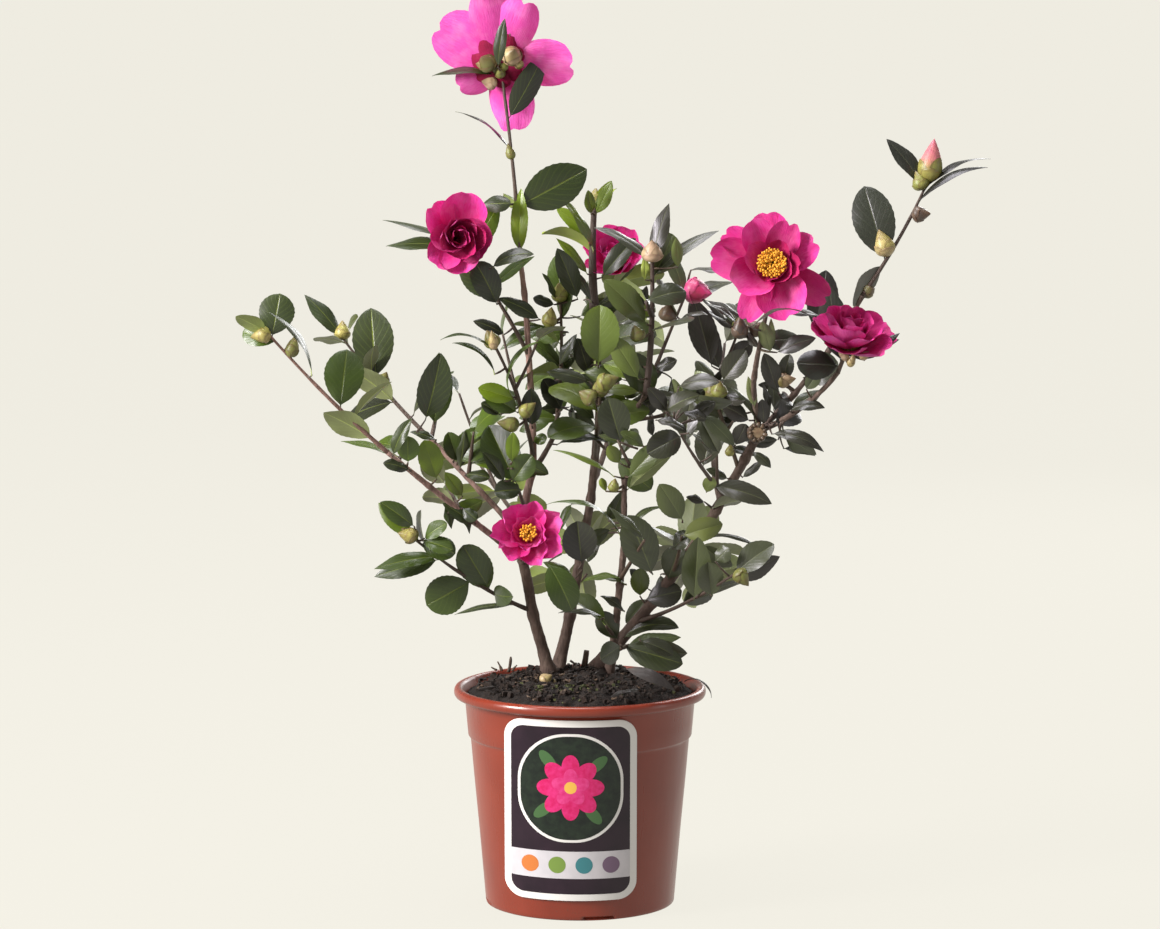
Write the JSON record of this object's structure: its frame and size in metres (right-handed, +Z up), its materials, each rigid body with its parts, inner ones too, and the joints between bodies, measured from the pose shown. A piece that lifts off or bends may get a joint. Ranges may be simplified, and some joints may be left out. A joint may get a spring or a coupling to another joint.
{
  "type": "camellia shrub",
  "caption": "Flowering camellia shrub with glossy leaves, buds and pink blossom, standing in its round plastic nursery pot with a plain picture label.",
  "frame": {"origin": "centre of the pot's flat underside", "axes": "+Z up, -Y is the front with the label, +X is the right side seen from the front"},
  "size_m": [0.5597, 0.3492, 0.6832],
  "materials": {
    "pot_plastic": "glossy moulded plastic",
    "soil": "rough, crumbly",
    "card": "laminated print",
    "bark": "matt, finely ridged bark",
    "foliage": "glossy leathery leaves"
  },
  "bodies": {
    "root": {"pot": "pot_plastic", "soil": "soil", "label": "card", "stem_left": "bark", "stem_middle": "bark", "stem_thin": "bark", "stem_right": "bark", "stem_left_upper": "bark", "bough_left_low": "bark", "bough_left_high": "bark", "bough_tall": "bark", "bough_inner": "bark", "bough_middle_top": "bark", "bough_middle_right": "bark", "bough_back": "bark", "bough_right_top": "bark", "bough_right_side": "bark", "bough_right_tall": "bark", "bough_right_back": "bark", "foliage_left_low_tip": "foliage", "foliage_left_low_side": "foliage", "foliage_left_low_under": "foliage", "foliage_left_high_tip": "foliage", "foliage_left_high_up": "foliage", "foliage_left_high_in": "foliage", "foliage_low_left": "foliage", "foliage_low_bloom": "foliage", "foliage_inner_left": "foliage", "foliage_top_bloom": "foliage", "foliage_rose_bloom": "foliage", "foliage_inner_buds": "foliage", "foliage_inner_top": "foliage", "foliage_middle_top": "foliage", "foliage_half_bloom": "foliage", "foliage_middle_front": "foliage", "foliage_centre_top": "foliage", "foliage_pink_bud": "foliage", "foliage_centre_front": "foliage", "foliage_centre_right": "foliage", "foliage_thin_top": "foliage", "foliage_thin_side": "foliage", "foliage_thin_left": "foliage", "foliage_thin_low": "foliage", "foliage_right_low": "foliage", "foliage_right_under": "foliage", "foliage_right_inner": "foliage", "foliage_right_middle": "foliage", "foliage_right_upper": "foliage", "foliage_right_dark": "foliage", "foliage_big_bloom": "foliage", "foliage_second_bloom": "foliage", "foliage_right_tall": "foliage", "foliage_right_side": "foliage", "foliage_back_left": "foliage", "foliage_back_centre": "foliage", "foliage_back_low": "foliage", "foliage_back_right": "foliage", "foliage_front_right": "foliage"}
  },
  "joints": []
}
